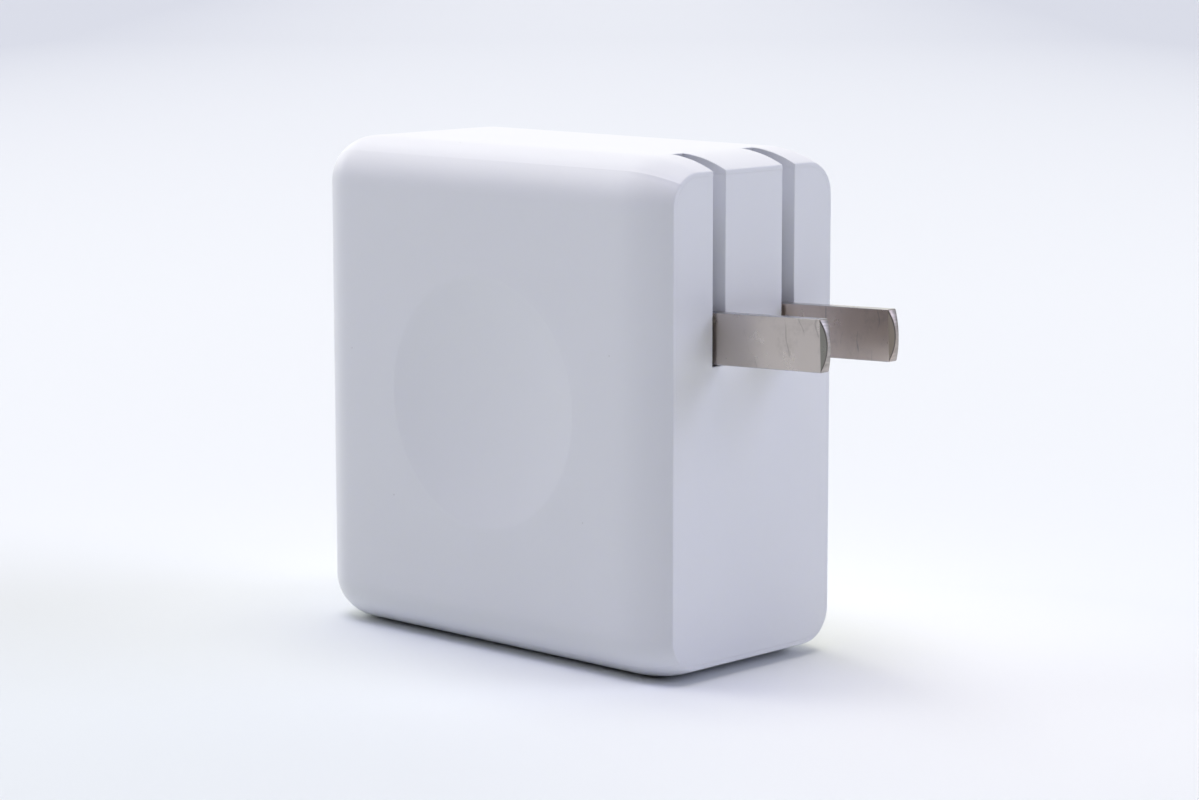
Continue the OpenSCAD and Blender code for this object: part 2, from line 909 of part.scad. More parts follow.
module pwm_controller() {
    from_end = 3;
    below_port = 17;
    color("black")
        on_board(board_x0 + from_end, seat_y, port_z - below_port, [5, 1.5, 4]);
}

module sync_rectifier() {
    from_end = 3;
    above_port = 3;
    color("black")
        on_board(board_x0 + from_end, seat_y, port_z + above_port, [6, 1.1, 5]);
}

module optocoupler() {
    from_end = 6;
    below_port = 4;
    color("black")
        on_board(board_x0 + from_end, seat_y, port_z - below_port, [4.5, 3.4, 4]);
}

module chip_resistors() {
    size = [1.6, 0.5, 0.8];
    from_end = 1;
    col_pitch = 2.6;
    row_pitch = 1.6;
    color("dimgray")
    for (i = [0 : 1], j = [0 : 2])
        on_board(board_x0 + from_end + j * col_pitch, seat_y, port_z + outlet_half + i * row_pitch, size);
}

main_shell();
blade_cover();
rotor_clamp();
clamp_screws();
blade_rotor();
line_blade();
neutral_blade();
detent_spring();
line_contact();
neutral_contact();
usb_c_shell();
usb_c_tongue();
usb_c_contacts();
outlet_board();
board_pins();
pd_controller();
output_switch();
main_board();
insulation_sheet();
thermal_pad();
transformer_core_front();
transformer_core_back();
transformer_bobbin();
transformer_winding();
transformer_tape();
choke_core();
choke_windings();
bulk_capacitors();
output_capacitors();
x_capacitor();
y_capacitor();
fuse();
inrush_thermistor();
bridge_rectifier();
primary_switch();
primary_heatsink();
pwm_controller();
sync_rectifier();
optocoupler();
chip_resistors();
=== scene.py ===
import json
from collections import namedtuple
from math import asin, atan2, cos, pi, radians, sin, sqrt

import bmesh
import bpy
from mathutils import Matrix, Vector


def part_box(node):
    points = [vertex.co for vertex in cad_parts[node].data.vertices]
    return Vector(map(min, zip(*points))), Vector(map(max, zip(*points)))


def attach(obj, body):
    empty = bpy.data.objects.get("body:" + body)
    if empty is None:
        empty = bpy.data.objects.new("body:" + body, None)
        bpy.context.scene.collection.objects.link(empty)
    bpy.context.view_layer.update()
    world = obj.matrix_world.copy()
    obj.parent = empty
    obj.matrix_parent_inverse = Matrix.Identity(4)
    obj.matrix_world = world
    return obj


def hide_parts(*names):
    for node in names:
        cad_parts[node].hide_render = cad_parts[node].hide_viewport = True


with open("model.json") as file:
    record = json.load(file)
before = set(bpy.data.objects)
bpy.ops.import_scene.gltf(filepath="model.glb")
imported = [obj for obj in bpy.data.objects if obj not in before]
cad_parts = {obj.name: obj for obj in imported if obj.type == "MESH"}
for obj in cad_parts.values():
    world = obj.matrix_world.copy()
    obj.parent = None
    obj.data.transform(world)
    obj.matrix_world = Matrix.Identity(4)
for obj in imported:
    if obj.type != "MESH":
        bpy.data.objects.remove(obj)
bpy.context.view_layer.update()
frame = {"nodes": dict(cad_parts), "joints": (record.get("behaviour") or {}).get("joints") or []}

PI_2 = pi / 2
MM = 0.001
TINY = 0.001 * MM

# The looks of a laptop power adapter. The case, the blade cover and the two windings are built
# here, and every other piece is the CAD's own node with its edges softened. X points out of the
# blade face, Y runs through the thickness and Z points up.

# ---------- sizes, in metres ----------

shell_lo, shell_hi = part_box("main_shell")
cover_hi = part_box("blade_cover")[1]
board_lo, board_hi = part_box("main_board")
FACE_X = shell_hi.x
END_X = shell_lo.x
HALF_T = shell_hi.y
HALF_H = (shell_hi.z - shell_lo.z) / 2
MID_Z = (shell_hi.z + shell_lo.z) / 2
EDGE_R = 5.9 * MM  # the long edges
END_R = 6.4 * MM  # the outlet end, lengthwise
CORE_Y = HALF_T - EDGE_R
CORE_Z = HALF_H - EDGE_R
COVER_SEAM = 0.015 * MM  # between the cover and the case
INNER_R = cover_hi.y - CORE_Y + COVER_SEAM
WALL = EDGE_R - INNER_R
NOSE_R = 18.5 * MM  # the arc on which the sides draw in before the blade face
NOSE_DROP = 1.7 * MM
MOUTH_R = 0.25 * MM  # the case's front edge
DISH_R = 16 * MM
DISH_DEPTH = 1 * MM
SLOT_Y = 6.35 * MM
SLOT_HALF = 1.125 * MM
SLOT_DEEP = 6.85 * MM  # behind the face, on the roof's outside
SLOT_UNDER = 7.45 * MM  # and on its inside
PORT_HALF_W = 4.62 * MM
PORT_R = 1.78 * MM
EDGE_SOFT = 0.12 * MM
SOFT_STEPS = 3
SHARP_FROM = radians(38)
HINGE = Vector(frame["joints"][0]["pos_m"])
REST_TILT = radians(2.2)
BLADE_T = 1.5 * MM
BLADE_W = 6.35 * MM
BLADE_LEN = 21.3 * MM
TIP_BULGE = 0.8 * MM
TIP_R = (BLADE_W ** 2 / 4 + TIP_BULGE ** 2) / (2 * TIP_BULGE)
FUSE_CAP = 1.6 * MM
BOBBIN_BORE = 5.6 * MM


# ---------- meshes ----------

def new_object(name, bm):
    """Turns bm into a smooth-shaded object whose sharp edges stay sharp."""
    mesh = bpy.data.meshes.new(name)
    bm.to_mesh(mesh)
    bm.free()
    mesh.shade_smooth()
    mesh.set_sharp_from_angle(angle=SHARP_FROM)
    obj = bpy.data.objects.new(name, mesh)
    bpy.context.scene.collection.objects.link(obj)
    weighted = obj.modifiers.new("weighted normals", "WEIGHTED_NORMAL")
    weighted.keep_sharp = True
    return obj


def even(start, end, steps):
    """Evenly spaced values from exactly start to exactly end."""
    return [start * (1 - i / steps) + end * (i / steps) for i in range(steps + 1)]


def add_box(bm, lo, hi):
    size = Vector(hi) - Vector(lo)
    middle = (Vector(hi) + Vector(lo)) / 2
    placed = Matrix.Translation(middle) @ Matrix.Diagonal((*size, 1))
    bmesh.ops.create_cube(bm, size=1, matrix=placed)


def soften(bm, edges):
    bmesh.ops.bevel(bm, geom=edges, offset=EDGE_SOFT, offset_type="OFFSET", segments=SOFT_STEPS,
                    profile=0.5, affect="EDGES", clamp_overlap=False)


# ---------- case ----------

SIDE_STEPS = 40
ARC_STEPS = 14
END_STEPS = 12
NOSE_STEPS = 14
MOUTH_STEPS = 5
ROOF_YS = (1.8 * MM, 3.5 * MM)
BESIDE_SLOT_Y = 8.7 * MM
PART_LINE = 0.012 * MM
PART_LINE_ANGLE = 0.6  # degrees round the corner, to either side of the line's middle
PART_LINE_FROM = END_X / 3
PART_LINE_GROWTH = 1.6
DISH_FLAT_RINGS = 4
DISH_SOFT = 0.15 * MM
DISH_RIM_RINGS = (0.5, 0, -0.5, -1)  # places across the softened rim, in DISH_SOFT
DISH_OUTER = 0.97  # the dish's own first and last rings, in DISH_R
DISH_INNER = 0.1
DISH_STEPS = 9
GUIDE_T = 1 * MM
GUIDE_TALL = 2.2 * MM
GUIDE_GAP = 0.15 * MM
GUIDE_END_X = FACE_X - 22 * MM
GUIDE_SUNK = 0.1 * MM

Column = namedtuple("Column", "y z ny nz side ridge")


def section_columns():
    """The columns of the case's skin, in order round its section. Each is a point on the inner
    rectangle, the outward direction there, the flat side it belongs to or "corner", and whether it
    is the raised middle of the mould's parting line."""
    slot_ys = (SLOT_Y - SLOT_HALF, SLOT_Y, SLOT_Y + SLOT_HALF)
    half = [*ROOF_YS, *slot_ys, BESIDE_SLOT_Y, CORE_Y]
    ys = [-y for y in reversed(half)] + [0] + half
    zs = even(-CORE_Z, CORE_Z, SIDE_STEPS)
    turns = [90 * i / ARC_STEPS for i in range(1, ARC_STEPS)]
    turns = sorted(turns + [45 - PART_LINE_ANGLE, 45 + PART_LINE_ANGLE])
    columns = []

    def flat(side, points, ny, nz):
        columns.extend(Column(y, z, ny, nz, side, False) for y, z in points)

    def corner(y, z, start):
        for turn in turns:
            angle = radians(start + turn)
            columns.append(Column(y, z, cos(angle), sin(angle), "corner", turn == 45))

    flat("bottom", [(y, -CORE_Z) for y in ys], 0, -1)
    corner(CORE_Y, -CORE_Z, -90)
    flat("far", [(CORE_Y, z) for z in zs], 1, 0)
    corner(CORE_Y, CORE_Z, 0)
    flat("top", [(y, CORE_Z) for y in reversed(ys)], 0, 1)
    corner(-CORE_Y, CORE_Z, 90)
    flat("near", [(-CORE_Y, z) for z in reversed(zs)], -1, 0)
    corner(-CORE_Y, -CORE_Z, 180)
    return columns


def case_rows(x0, end_r, radius, slot_deep, nosed):
    """(x, reach) of each row of a skin that starts at x0, from the outlet end to the mouth. Reach
    is how far the skin stands off the inner rectangle: it grows to radius over a length of end_r,
    and a nosed skin draws in again near the mouth. One row lies slot_deep behind the face, where
    the slots end."""
    rows = [(x0 + end_r * (1 - cos(t)), radius * sin(t)) for t in even(0, PI_2, END_STEPS)]
    nose_len = sqrt(NOSE_R ** 2 - (NOSE_R - NOSE_DROP) ** 2)
    nose_x = FACE_X - nose_len
    rows += [(x, radius) for x in even(x0 + end_r, nose_x, SIDE_STEPS)[1:]]
    nose_reach = EDGE_R - NOSE_R
    mouth_x = FACE_X - MOUTH_R
    mouth_reach = nose_reach + sqrt((NOSE_R - MOUTH_R) ** 2 - (nose_len - MOUTH_R) ** 2)
    slot_start = asin((nose_len - slot_deep) / NOSE_R)
    bend = asin((nose_len - MOUTH_R) / (NOSE_R - MOUTH_R))
    front = [(nose_x + NOSE_R * sin(t), nose_reach + NOSE_R * cos(t))
             for t in even(slot_start, bend, NOSE_STEPS)]
    front += [(mouth_x + MOUTH_R * sin(t), mouth_reach + MOUTH_R * cos(t))
              for t in even(bend, PI_2, MOUTH_STEPS)[1:]]
    return rows + [(x, reach if nosed else radius) for x, reach in front]


def parting(x):
    """How far the parting line stands out at x, from 0 nearer the outlet end to 1 nearer the
    blades, as a share of its full height."""
    share = (x - PART_LINE_FROM) / (FACE_X - PART_LINE_FROM)
    return min(1, max(0, share * PART_LINE_GROWTH))


def skin_points(bm, columns, rows, ridge):
    """The skin's vertices by (row, column). The columns of one corner share a vertex on the end
    face. Ridge is 1 on a skin that shows the parting line, and 0 on one that doesn't."""
    grid = {}
    shared = {}
    layer = bm.verts.layers.float["parting"]
    for i, (x, reach) in enumerate(rows):
        for j, c in enumerate(columns):
            if reach < TINY and (c.y, c.z) in shared:
                grid[i, j] = shared[c.y, c.z]
                continue
            line = ridge * parting(x) if c.ridge else 0
            out = reach + PART_LINE * line
            grid[i, j] = bm.verts.new((x, c.y + out * c.ny, MID_Z + c.z + out * c.nz))
            grid[i, j][layer] = line
            if reach < TINY:
                shared[c.y, c.z] = grid[i, j]
    return grid


def in_slot(i, a, b):
    """Whether the face after row i, between columns a and b, is open for a slot."""
    middle = abs(a.y + b.y) / 2
    return (a.side == b.side == "top" and abs(middle - SLOT_Y) < SLOT_HALF
            and i > END_STEPS + SIDE_STEPS)


def in_dish_block(i, a, b):
    """Whether the face after row i, between columns a and b, is in the block for the dish."""
    return a.side == b.side == "near" and END_STEPS <= i < END_STEPS + SIDE_STEPS


def skin_faces(bm, grid, columns, rows, dished):
    for i in range(len(rows) - 1):
        for j, a in enumerate(columns):
            k = (j + 1) % len(columns)
            b = columns[k]
            if in_slot(i, a, b) or dished and in_dish_block(i, a, b):
                continue
            around = [grid[i, j], grid[i, k], grid[i + 1, k], grid[i + 1, j]]
            bm.faces.new(dict.fromkeys(around))


def join_rings(bm, outer, inner):
    """Faces between two closed rings of as many vertices."""
    for k, vert in enumerate(outer):
        after = (k + 1) % len(outer)
        bm.faces.new((vert, outer[after], inner[after], inner[k]))


def dish_drop(r):
    """Depth of the dish at r from its middle, with a softened rim."""
    slope = 2 * DISH_DEPTH / DISH_R
    inside = DISH_R + DISH_SOFT - r
    if inside < 2 * DISH_SOFT:
        return slope * max(0, inside) ** 2 / (4 * DISH_SOFT)
    return DISH_DEPTH * (1 - (r / DISH_R) ** 2)


def dish_border(grid, columns):
    """The vertices round the block left open in the near broad face, in order."""
    near = [j for j, c in enumerate(columns) if c.side == "near"]
    first, last = END_STEPS, END_STEPS + SIDE_STEPS
    border = [grid[first, j] for j in near]
    border += [grid[i, near[-1]] for i in range(first + 1, last)]
    border += [grid[last, j] for j in reversed(near)]
    border += [grid[i, near[0]] for i in range(last - 1, first, -1)]
    return border


def add_dish(bm, grid, columns):
    """Fills the open block of the near broad face: flat rings in to the rim, then the dish."""
    border = dish_border(grid, columns)
    angles = [atan2(v.co.z - MID_Z, v.co.x) for v in border]
    rim = DISH_R + DISH_SOFT
    ring = border
    for k in range(1, DISH_FLAT_RINGS + 1):
        share = k / DISH_FLAT_RINGS
        inner = []
        for vert, angle in zip(border, angles):
            on_rim = Vector((rim * cos(angle), -HALF_T, MID_Z + rim * sin(angle)))
            inner.append(bm.verts.new(vert.co.lerp(on_rim, share)))
        join_rings(bm, ring, inner)
        ring = inner
    radii = [DISH_R + DISH_SOFT * s for s in DISH_RIM_RINGS]
    radii += even(DISH_OUTER * DISH_R, DISH_INNER * DISH_R, DISH_STEPS)
    for r in radii:
        y = dish_drop(r) - HALF_T
        inner = [bm.verts.new((r * cos(a), y, MID_Z + r * sin(a))) for a in angles]
        join_rings(bm, ring, inner)
        ring = inner
    middle = bm.verts.new((0, dish_drop(0) - HALF_T, MID_Z))
    for k, vert in enumerate(ring):
        bm.faces.new((vert, ring[(k + 1) % len(ring)], middle))


def port_point(share):
    """(y, z) of the port's edge at a share of the way round, from the middle of its lower end
    towards the far side."""
    half = PORT_HALF_W - PORT_R
    quarter = PI_2 * PORT_R
    done = share % 1 * (4 * quarter + 4 * half)
    if done < quarter:
        angle = done / PORT_R - PI_2
        return PORT_R * cos(angle), PORT_R * sin(angle) - half
    if done < quarter + 2 * half:
        return PORT_R, done - quarter - half
    if done < 3 * quarter + 2 * half:
        angle = (done - quarter - 2 * half) / PORT_R
        return PORT_R * cos(angle), PORT_R * sin(angle) + half
    if done < 3 * quarter + 4 * half:
        return -PORT_R, 3 * quarter + 3 * half - done
    angle = pi + (done - 3 * quarter - 4 * half) / PORT_R
    return PORT_R * cos(angle), PORT_R * sin(angle) - half


def add_end_face(bm, grid, columns):
    """Closes a skin's outlet end down to the port and returns the port's ring."""
    ring = list(dict.fromkeys(grid[0, j] for j in range(len(columns))))
    around = 4 * CORE_Y + 4 * CORE_Z
    done = -CORE_Y
    rim = []
    for k, vert in enumerate(ring):
        if k > 0:
            done += (vert.co - ring[k - 1].co).length
        y, z = port_point(done / around)
        rim.append(bm.verts.new((vert.co.x, y, MID_Z + z)))
    join_rings(bm, ring, rim)
    return rim


def add_guides(bm):
    """Four rails inside the case that hold the main board's edges."""
    for z0, z1 in ((shell_lo.z + WALL - GUIDE_SUNK, board_lo.z + GUIDE_TALL),
                   (board_hi.z - GUIDE_TALL, shell_hi.z - WALL + GUIDE_SUNK)):
        for y0 in (board_lo.y - GUIDE_GAP - GUIDE_T, board_hi.y + GUIDE_GAP):
            add_box(bm, (board_lo.x, y0, z0), (GUIDE_END_X, y0 + GUIDE_T, z1))


def make_case():
    bm = bmesh.new()
    bm.verts.layers.float.new("parting")
    columns = section_columns()
    outer_rows = case_rows(END_X, END_R, EDGE_R, SLOT_DEEP, True)
    inner_rows = case_rows(END_X + WALL, INNER_R, INNER_R, SLOT_UNDER, False)
    outer = skin_points(bm, columns, outer_rows, 1)
    skin_faces(bm, outer, columns, outer_rows, True)
    add_dish(bm, outer, columns)
    outer_port = add_end_face(bm, outer, columns)
    rim = [tuple(e.verts) for e in bm.edges if e.is_boundary]
    inner = skin_points(bm, columns, inner_rows, 0)
    skin_faces(bm, inner, columns, inner_rows, False)
    inner_port = add_end_face(bm, inner, columns)
    partner = {outer[key]: inner[key] for key in outer}
    partner.update(zip(outer_port, inner_port))
    for a, b in rim:
        bm.faces.new((a, b, partner[b], partner[a]))
    mouth = {outer[len(outer_rows) - 1, j] for j in range(len(columns))}
    sharp = [bm.edges.get(pair) for pair in rim if not mouth.issuperset(pair)]
    slot_ends = mouth.intersection(v for e in sharp for v in e.verts)
    sharp += [bm.edges.get((v, partner[v])) for v in slot_ends]
    bmesh.ops.recalc_face_normals(bm, faces=bm.faces)
    soften(bm, sharp)
    loose = [v for v in bm.verts if not v.link_faces]
    bmesh.ops.delete(bm, geom=loose, context="VERTS")
    add_guides(bm)
    return new_object("case_shell", bm)


# ---------- blade cover ----------

COVER_FLAT = radians(1)


def make_cover():
    """The cover's own shape, its flat faces whole again, with its slot edges softened."""
    bm = bmesh.new()
    bm.from_mesh(frame["nodes"]["blade_cover"].data)
    bmesh.ops.remove_doubles(bm, verts=bm.verts, dist=TINY)
    bmesh.ops.dissolve_limit(bm, angle_limit=COVER_FLAT, verts=bm.verts, edges=bm.edges)

    def on_slot_rim(edge):
        """Whether an edge borders a slot on the blade face, and not the gap to the case."""
        a, b = (v.co for v in edge.verts)
        front = min(a.x, b.x) > FACE_X - TINY
        within = max(abs(a.y), abs(b.y)) < SLOT_Y + SLOT_HALF + TINY
        across = abs(a.y - b.y) > TINY and a.z > cover_hi.z - TINY
        return front and within and not across

    soften(bm, [e for e in bm.edges if on_slot_rim(e)])
    return new_object("slotted_cover", bm)


# ---------- wound pieces ----------

WIRE_SIDES = 8
TURN_STEPS = 48
WINDING_WIRE = 0.2 * MM
CHOKE_WIRE = 0.33 * MM
CHOKE_TURNS = 8
CHOKE_SPANS = (-25, 155)
CHOKE_SWEEP = 130
CHOKE_BORE = 2.2 * MM
CHOKE_CORNER = 0.5 * MM
CHOKE_CORNER_STEPS = 5


def add_wire(bm, path, radius):
    """A round wire along a path of points, closed at its ends."""
    across = (path[1] - path[0]).orthogonal().normalized()
    rings = []
    for i, point in enumerate(path):
        ahead = (path[min(i + 1, len(path) - 1)] - path[max(i - 1, 0)]).normalized()
        across = (across - ahead * across.dot(ahead)).normalized()
        other = ahead.cross(across)
        rings.append([bm.verts.new(point + radius * (cos(a) * across + sin(a) * other))
                      for a in even(0, 2 * pi, WIRE_SIDES)[:-1]])
    for a, b in zip(rings, rings[1:]):
        join_rings(bm, a, b)
    bm.faces.new(rings[0])
    bm.faces.new(rings[-1])


def add_tube_y(bm, middle, radii, ys):
    """A straight tube along Y, from its bore radius to its outer radius."""
    rings = []
    for radius, y in ((radii[0], ys[0]), (radii[1], ys[0]), (radii[1], ys[1]), (radii[0], ys[1])):
        rings.append([bm.verts.new((middle.x + radius * cos(a), y, middle.z + radius * sin(a)))
                      for a in even(0, 2 * pi, TURN_STEPS)[:-1]])
    for a, b in zip(rings, rings[1:] + rings[:1]):
        join_rings(bm, a, b)


def make_winding():
    """The transformer's outer layer of wire, turn by turn, over the layers beneath it."""
    lo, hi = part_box("transformer_winding")
    middle = (lo + hi) / 2
    outer = (hi.x - lo.x) / 2
    path_r = outer - WINDING_WIRE
    turns = int((hi.y - lo.y - 2 * WINDING_WIRE) / (2 * WINDING_WIRE))
    bm = bmesh.new()
    add_tube_y(bm, middle, (BOBBIN_BORE, path_r - WINDING_WIRE / 2),
               (lo.y + WINDING_WIRE, hi.y - WINDING_WIRE))
    path = []
    for i in range(turns * TURN_STEPS + 1):
        share = i / (turns * TURN_STEPS)
        angle = 2 * pi * i / TURN_STEPS
        y = lo.y + WINDING_WIRE + share * (hi.y - lo.y - 2 * WINDING_WIRE)
        path.append(Vector((middle.x + path_r * cos(angle), y, middle.z + path_r * sin(angle))))
    add_wire(bm, path, WINDING_WIRE)
    bmesh.ops.recalc_face_normals(bm, faces=bm.faces)
    return new_object("wire_winding", bm)


def round_loop(half_r, half_y):
    """(radial, y) points once round a rounded rectangle, from the +Y end of its outer side."""
    points = []
    corners = ((1, 1, 0), (-1, 1, 90), (-1, -1, 180), (1, -1, 270))
    for sign_r, sign_y, start in corners:
        for turn in even(0, 90, CHOKE_CORNER_STEPS):
            angle = radians(start + turn)
            points.append((sign_r * (half_r - CHOKE_CORNER) + CHOKE_CORNER * cos(angle),
                           sign_y * (half_y - CHOKE_CORNER) + CHOKE_CORNER * sin(angle)))
    return points


def make_choke_windings():
    """Two coils of thick wire on opposite sides of the ring core."""
    lo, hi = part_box("choke_windings")
    core_lo, core_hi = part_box("choke_core")
    middle = (core_lo + core_hi) / 2
    outer = (core_hi.x - core_lo.x) / 2 + (core_lo.y - lo.y)
    half_r = (outer - CHOKE_BORE) / 2 - CHOKE_WIRE
    half_y = (hi.y - lo.y) / 2 - CHOKE_WIRE
    loop = round_loop(half_r, half_y)
    bm = bmesh.new()
    for start in CHOKE_SPANS:
        path = []
        for i in range(CHOKE_TURNS * len(loop) + 1):
            radial, y = loop[i % len(loop)]
            angle = radians(start + CHOKE_SWEEP * i / (CHOKE_TURNS * len(loop)))
            reach = (outer + CHOKE_BORE) / 2 + radial
            path.append(Vector((middle.x + reach * cos(angle), middle.y + y,
                                middle.z + reach * sin(angle))))
        add_wire(bm, path, CHOKE_WIRE)
    bmesh.ops.recalc_face_normals(bm, faces=bm.faces)
    return new_object("choke_coils", bm)


# ---------- CAD nodes that stay ----------

NODE_FLAT = radians(0.5)
NODE_SHARP = radians(25)
NODE_SOFT_STEPS = 2


def soften_node(name, width):
    """Gives a CAD node whole flat faces, softened edges and clean shading, all by modifiers."""
    obj = frame["nodes"][name]
    weld = obj.modifiers.new("weld", "WELD")
    weld.merge_threshold = TINY
    flats = obj.modifiers.new("whole flats", "DECIMATE")
    flats.decimate_type = "DISSOLVE"
    flats.angle_limit = NODE_FLAT
    edges = obj.modifiers.new("soft edges", "BEVEL")
    edges.width = width
    edges.segments = NODE_SOFT_STEPS
    edges.limit_method = "ANGLE"
    edges.angle_limit = NODE_SHARP
    edges.use_clamp_overlap = True
    obj.modifiers.new("weighted normals", "WEIGHTED_NORMAL")


# ---------- materials ----------

SPECULAR = 0.4
DUST = (0.3, 0.29, 0.28)
DUST_SHARE = 0.35


def new_material(name, colour, roughness, metallic=0):
    mat = bpy.data.materials.new(name)
    mat.use_nodes = True
    shader = mat.node_tree.nodes["Principled BSDF"]
    shader.inputs["Base Color"].default_value = (*colour, 1)
    shader.inputs["Roughness"].default_value = roughness
    shader.inputs["Metallic"].default_value = metallic
    shader.inputs["Specular IOR Level"].default_value = SPECULAR
    return mat


def add_node(mat, kind, inputs=(), **settings):
    """A new node with its settings, and its inputs set from values or linked from sockets."""
    node = mat.node_tree.nodes.new("ShaderNode" + kind)
    for key, value in settings.items():
        setattr(node, key, value)
    for key, value in dict(inputs).items():
        if isinstance(value, bpy.types.NodeSocket):
            mat.node_tree.links.new(value, node.inputs[key])
        else:
            node.inputs[key].default_value = value
    return node


def feed(mat, socket, name):
    mat.node_tree.links.new(socket, mat.node_tree.nodes["Principled BSDF"].inputs[name])


def place(mat, scale=(1, 1, 1)):
    """The point on the piece in its own frame, in metres, stretched by scale."""
    point = add_node(mat, "TexCoord").outputs["Object"]
    return add_node(mat, "Mapping", {"Vector": point, "Scale": scale}).outputs["Vector"]


def noise(mat, where, size, detail=2, rough=0.5):
    """Noise from 0 to 1 whose features are about size metres across."""
    return add_node(mat, "TexNoise", {"Vector": where, "Scale": 1 / size, "Detail": detail,
                                      "Roughness": rough}).outputs["Fac"]


def remap(mat, value, low, high, to_low=0.0, to_high=1.0):
    return add_node(mat, "MapRange", {"Value": value, "From Min": low, "From Max": high,
                                      "To Min": to_low, "To Max": to_high}).outputs["Result"]


def spread(mat, pattern, to_low=0.0, to_high=1.0, reach=0.2):
    """From to_low to to_high over the part of a noise within reach of its middle."""
    return remap(mat, pattern, 0.5 - reach, 0.5 + reach, to_low, to_high)


def calc(mat, operation, a, b=0.0):
    node = add_node(mat, "Math", {0: a, 1: b}, operation=operation)
    return node.outputs["Value"]


def times(mat, a, b):
    return calc(mat, "MULTIPLY", a, b)


def blend_colours(mat, share, a, b):
    """From a to b by share. Each is a colour or a socket."""
    a, b = ((*c, 1) if isinstance(c, tuple) else c for c in (a, b))
    node = add_node(mat, "Mix", {0: share, 6: a, 7: b}, data_type="RGBA")
    return node.outputs[2]


def bump(mat, height, depth, strength):
    node = add_node(mat, "Bump", {"Height": height, "Distance": depth, "Strength": strength})
    feed(mat, node.outputs["Normal"], "Normal")


def tint(mat, share, a, b):
    """Colours the shader from a to b by share."""
    feed(mat, blend_colours(mat, share, a, b), "Base Color")


def roughen(mat, pattern, low, high, reach=0.2):
    feed(mat, spread(mat, pattern, low, high, reach), "Roughness")


def darker(colour, share):
    return tuple(c * share for c in colour)


def split(mat, where):
    node = add_node(mat, "SeparateXYZ", {"Vector": where})
    return node.outputs["X"], node.outputs["Y"], node.outputs["Z"]


def join(mat, x, y, z=0.0):
    return add_node(mat, "CombineXYZ", {"X": x, "Y": y, "Z": z}).outputs["Vector"]


def distance(mat, where, point):
    node = add_node(mat, "VectorMath", {0: where, 1: point}, operation="DISTANCE")
    return node.outputs["Value"]


def along(mat, where, direction):
    node = add_node(mat, "VectorMath", {0: where, 1: direction}, operation="DOT_PRODUCT")
    return node.outputs["Value"]


def specks(mat, where, apart, radius):
    """1 on small spots: where a cell's own point happens to lie at the surface."""
    cells = add_node(mat, "TexVoronoi", {"Vector": where, "Scale": 1 / apart})
    edge = radius / apart
    return remap(mat, cells.outputs["Distance"], edge * 0.6, edge, 1, 0)


def case_plastic(name, colour, shade):
    """Moulded white plastic: an even satin with a very fine spark-eroded grain and a few specks of
    dust, a little darker on the parting line, partly for dirt and partly as painted shade in its
    crease."""
    mat = new_material(name, colour, 0.42)
    where = place(mat)
    cloud = noise(mat, where, 9 * MM, detail=3)
    line = add_node(mat, "Attribute", attribute_name="parting").outputs["Fac"]
    # Random clouding in tone, and on the parting line partly dirt and partly painted shade.
    clouds_and_line_shade = calc(mat, "ADD", spread(mat, cloud, 0, 0.08), line)
    clean = blend_colours(mat, clouds_and_line_shade, colour, shade)
    dust = times(mat, specks(mat, where, apart=5 * MM, radius=0.13 * MM), DUST_SHARE)
    tint(mat, dust, clean, DUST)
    grain = noise(mat, where, 0.22 * MM, detail=3, rough=0.6)
    roughen(mat, grain, 0.38, 0.46, reach=0.3)
    bump(mat, grain, 0.004 * MM, 0.5)
    return mat


# ---------- blade material ----------

NICKEL = (0.52, 0.475, 0.445)
# The bevels' colours are a painted dark reflection.
BEVEL_DARK_REFLECTION = (0.24, 0.235, 0.21)
NICKEL_EDGE = (0.485, 0.475, 0.49)
# The near side of the far blade: a painted warmer reflection.
FAR_NICKEL_REFLECTION = (0.57, 0.495, 0.445)
# The far blade's bevels: a painted dark reflection, a little warmer.
FAR_BEVEL_DARK_REFLECTION = (0.27, 0.232, 0.195)
WORN_SHARE = 0.72
# The share of the painted shade line along the tip's bevels.
SHADE_LINE_SHARE = 0.25

# Where each of the blades' masks fades in, in metres.
FACET_FADE = 0.04 * MM  # under the broad faces
BEVEL_FADE = (0.06 * MM, 0.02 * MM)  # inside the tip's arc
# The painted shade line along the tip's bevels:
SHADE_LINE_FADE = (0.17 * MM, 0.1 * MM)
SHEAR_FADE = (0.03 * MM, 0.01 * MM)
EDGE_FADE = (0.1 * MM, 0.02 * MM)  # inside the long edges
RUBBED_FADE = (7 * MM, 11 * MM)  # out from the hinge


def blade_place(mat):
    """The point in the blades' own lines: along the blade from the hinge, across the pair, up."""
    turn = Matrix.Rotation(REST_TILT, 3, "Y")
    point = add_node(mat, "TexCoord").outputs["Object"]
    return add_node(mat, "Mapping", {"Vector": point, "Rotation": turn.to_euler(),
                                     "Location": -(turn @ HINGE)}).outputs["Vector"]


def tip_masks(mat, x, y, z):
    """1 on the tip's coined bevels, on the painted shade line along them, and on its sheared end.
    """
    off_middle = calc(mat, "ABSOLUTE", calc(mat, "SUBTRACT", calc(mat, "ABSOLUTE", y), SLOT_Y))
    below_face = calc(mat, "SUBTRACT", BLADE_T / 2, off_middle)
    out = distance(mat, join(mat, x, 0.0, z), (BLADE_LEN - TIP_R, 0, 0))
    bevel = remap(mat, x, BLADE_LEN - TIP_BULGE - FACET_FADE, BLADE_LEN - TIP_BULGE)
    bevel = times(mat, bevel, remap(mat, below_face, 0, FACET_FADE))
    bevel = times(mat, bevel, remap(mat, out, *(TIP_R - f for f in BEVEL_FADE), 1, 0))
    line = times(mat, bevel, remap(mat, out, *(TIP_R - f for f in SHADE_LINE_FADE)))
    sheared = times(mat, remap(mat, out, *(TIP_R - f for f in SHEAR_FADE)),
                   remap(mat, x, BLADE_LEN - 2 * TIP_BULGE, BLADE_LEN - TIP_BULGE))
    return bevel, line, sheared


